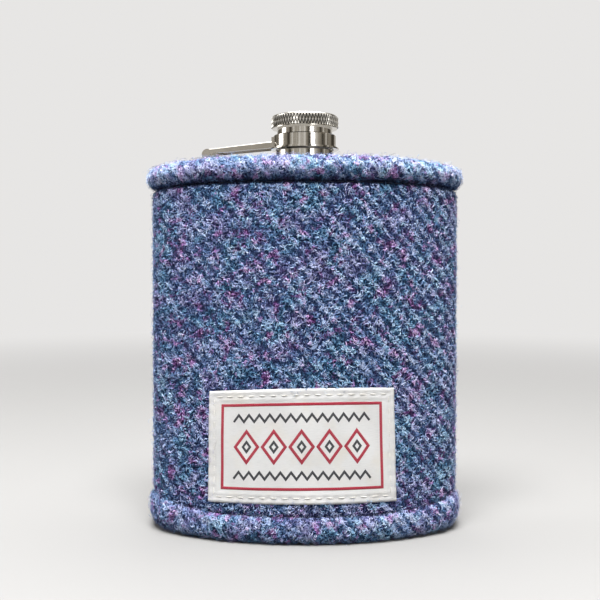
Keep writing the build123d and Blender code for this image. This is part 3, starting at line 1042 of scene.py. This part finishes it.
def makeFibres(band, look, count, seed):
    # short curling ribbons of wool on a surface; place(u, v, out) gives points
    name, place, uRange, vRange, offLabel = band
    rng = np.random.default_rng(seed)
    steps = look["steps"]
    u0 = rng.uniform(*uRange, 5 * count)
    v0 = rng.uniform(*vRange, 5 * count)
    clump = clumps(u0, v0)
    dense = (1 - look["waleGap"] * (1 - waleHeight(u0, v0))) * (1 - look["clumpGap"] * (1 - clump))
    kept = rng.uniform(0, 1, len(u0)) < dense
    kept &= ~(underLabel(u0, v0) & offLabel) & (seamDistance(u0) > 0.4)
    u0, v0, clump = (x[kept][:count, None] for x in (u0, v0, clump))
    count = len(u0)

    def varied(middle, by):
        return middle * np.exp(rng.normal(0, by, count))[:, None]

    heading = rng.uniform(0, 2 * pi, count)[:, None]
    length = varied(look["length"], 0.3)
    curl = rng.normal(0, look["curl"], count)[:, None]
    t = np.linspace(0, 1, steps + 1)
    angle = heading + curl * t
    mid = (angle[:, 1:] + angle[:, :-1]) / 2
    zero = np.zeros((count, 1))
    u = u0 + np.concatenate([zero, np.cumsum(np.cos(mid), 1)], 1) * length / steps
    v = v0 + np.concatenate([zero, np.cumsum(np.sin(mid), 1)], 1) * length / steps
    arch = np.sin(pi * t * look["standing"]) * varied(look["rise"], 0.35)
    out = look["root"] + arch + look["swell"] * (clump - 0.5)
    width = varied(look["width"], 0.2) * (1 - 0.75 * np.abs(2 * t - 1) ** 3) / 2
    tilt = rng.uniform(-1, 1, count)[:, None] * look["tilt"]
    sideU, sideV = -np.sin(angle) * width * np.cos(tilt), np.cos(angle) * width * np.cos(tilt)
    sideOut = width * np.sin(tilt)
    rims = [place(u + k * sideU, v + k * sideV, out + k * sideOut) for k in (-1, 1)]
    first = np.arange(count)[:, None] * (steps + 1) * 2 + np.arange(steps) * 2
    faces = np.stack([first, first + 1, first + 3, first + 2], -1).reshape(-1, 4)
    piece = makePiece(name + look["name"], np.stack(rims, 2), faces, look["wool"])
    felt = piece.data.attributes.new("clump", "FLOAT", "POINT")
    felt.data.foreach_set("value", np.repeat(clump.ravel(), 2 * (steps + 1)).astype(np.float32))
    # every fibre has its own cell on a second map, OFBake
    side = int(math.ceil(math.sqrt(count)))
    cell = np.arange(count)[:, None, None]
    a, b = t[:-1] * 0.8 + 0.1, t[1:] * 0.8 + 0.1
    cellX = cell % side + np.stack([a, a, b, b], -1)
    cellY = np.broadcast_to(cell // side + np.array([0.15, 0.85, 0.85, 0.15]), cellX.shape)
    addMap(piece, "OFBake", np.stack([cellX, cellY], -1) / side)
    addMap(piece, "cloth", np.repeat(np.concatenate([u0, v0], 1), steps * 4, 0))
    piece.data.uv_layers["cloth"].active_render = True
    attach(piece, "flask")


def onRoll(form):
    # a place on a rolled edge, g up its outside
    def place(u, g, out):
        girth = np.clip(g * form["way"], 0, form["girth"][-2])
        away, height = onProfile(form, u, girth, out)
        return onSleeve(u, np.maximum(height, 0.03), away)

    return place


tufts = {"name": "Tufts", "wool": tuftWool, "length": 1.02, "width": 0.26, "rise": 0.3, "root": -0.02,
         "curl": 2.4, "steps": 3, "tilt": 0.8, "standing": 1.0, "waleGap": 0.4, "clumpGap": 0.6,
         "swell": 0.3}
hairs = {**tufts, "name": "Hairs", "wool": hairWool, "length": 2.1, "width": 0.06, "rise": 0.7,
         "root": 0.0, "curl": 2.6, "steps": 4, "tilt": 1.5, "standing": 0.75, "waleGap": 0.2}
wallReach = (foot + 0.8, ditch - 1.0)
topReach = (1.8, topForm["girth"][-1] * 0.62)
bottomReach = (-bottomForm["girth"][-1] * 0.5, -0.6)
quarter = around / 4
frontHalf, backHalf, whole = (quarter, 3 * quarter), (3 * quarter, 5 * quarter), (0, around)
bands = [
    ("wrapFront", onWrap, frontHalf, wallReach, True, 33000, 7000),
    ("wrapBack", onWrap, backHalf, wallReach, False, 33000, 7000),
    ("topRoll", onRoll(topForm), whole, topReach, False, 12000, 7000),
    ("bottomRoll", onRoll(bottomForm), whole, bottomReach, False, 10000, 4500),
]
for number, (*band, tuftCount, hairCount) in enumerate(bands):
    makeFibres(band, tufts, tuftCount, 40 + number)
    makeFibres(band, hairs, hairCount, 60 + number)
print("wool fibres made")

stage = {
    "pale": (0.285, 0.281, 0.276),
    "bounce": (0.12, 0.118, 0.115),
    "backdrop": (0.8, 0.79, 0.78),
    "reach": 4.0,
    "fade": (0.15, 0.8),
    "level": 0.1,
    "card": (-0.39, -0.92, 0.0),
    "room": [(0.15, (0.03, 0.027, 0.022)), (0.42, (0.16, 0.145, 0.12)), (0.6, (0.42, 0.39, 0.34)),
             (0.85, (0.85, 0.84, 0.82))],
}


def rayKinds(tree):
    # 1 where the stage is looked at, straight or in metal or glass
    rays = add(tree, "LightPath").outputs
    seen = maths("MAXIMUM", rays["Is Camera Ray"], rays["Is Glossy Ray"])
    return maths("MAXIMUM", seen, rays["Is Transmission Ray"])


# pale to look at, duller in what it throws back on the cloth; far off it meets the pale room
studioPale, tree = newMaterial("studioPale")
seen = rayKinds(tree)
colour = mixColour(seen, stage["bounce"], stage["pale"])
shader = tree.nodes["Principled BSDF"]
setSockets(shader, {"Base Color": colour, "Roughness": 0.9, "Specular IOR Level": 0.1})
off = vectors("LENGTH", objectPlace(tree))
far = step(off, *stage["fade"], interpolation_type="SMOOTHSTEP")
glow = add(tree, "Emission", {"Color": stage["backdrop"]})
blend = add(tree, "MixShader", {0: times(far, seen), 1: shader.outputs[0], 2: glow.outputs[0]})
setSockets(tree.nodes["Material Output"], {"Surface": blend.outputs[0]})

sides = 96
turns = np.arange(sides) * 2 * pi / sides
rim = np.stack([np.cos(turns), np.sin(turns), 0 * turns], -1) * stage["reach"]
fan = [(k, (k + 1) % sides, sides) for k in range(sides)]
floor = makePiece("studioFloor", np.concatenate([rim, [[0, 0, 0]]]), fan, studioPale)
floor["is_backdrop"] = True

lamps = {
    # place, aim, size, power
    "keyLamp": ((-0.04, -0.32, 0.78), (0, 0, 0.07), (0.45, 0.3), 15.0),
    "fillLamp": ((0.5, -0.9, 0.3), (0, 0, 0.06), (0.25, 0.7), 2.0),
    "rimLamp": ((-0.75, 0.1, 0.4), (0, 0, 0.06), (0.3, 0.6), 2.5),
    "topLamp": ((0.1, 0.15, 0.95), (0, 0, 0.1), (1.0, 0.7), 12.0),
}
for name, (place, aim, size, power) in lamps.items():
    data = bpy.data.lights.new(name, "AREA")
    data.shape = "RECTANGLE"
    data.size, data.size_y = size
    data.energy = power
    lamp = intoScene(name, data)
    lamp.location = place
    lamp.rotation_euler = (Vector(aim) - Vector(place)).to_track_quat("-Z", "Y").to_euler()

# dim on the cloth; the camera and the metal see a pale room, darker low down and behind
world = bpy.data.worlds.new("studio")
scene.world = world
world.use_nodes = True
tree = world.node_tree
direction = add(tree, "TexCoord").outputs["Generated"]
folds = noise(stretched(direction, (2.2, 2.2, 0.5)), 1.6, 3.0, 0.55, 0.3)
beside = vectors("DOT_PRODUCT", direction, stage["card"])
gloom = total(maths("MULTIPLY_ADD", folds, 2.2, -0.75), times(apart(direction)[2], 0.45),
              times(step(beside, 0.86, 0.99), 0.35))
room = ramp(gloom, stage["room"])
straight = add(tree, "LightPath").outputs["Is Camera Ray"]
setSockets(tree.nodes["Background"], {
    "Color": mixColour(straight, room, stage["backdrop"]),
    "Strength": maths("MULTIPLY_ADD", rayKinds(tree), 1 - stage["level"], stage["level"]),
})

view = {"lens": 50.5, "distance": 252.0, "eye": 86.0, "side": -1.5, "pitch": 1.5, "shiftY": -0.0267}

data = bpy.data.cameras.new("camera")
data.lens = view["lens"]
data.sensor_width = 36
data.shift_y = view["shiftY"]
camera = intoScene("camera", data)
front = -(flask["depth"] / 2 + layer["roll"])
camera.location = (view["side"] * mm, (front - view["distance"]) * mm, view["eye"] * mm)
camera.rotation_euler = (math.radians(90 - view["pitch"]), 0, 0)
scene.camera = camera
scene.view_settings.view_transform = "Standard"
print("stage, lamps and camera made")

low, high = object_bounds()
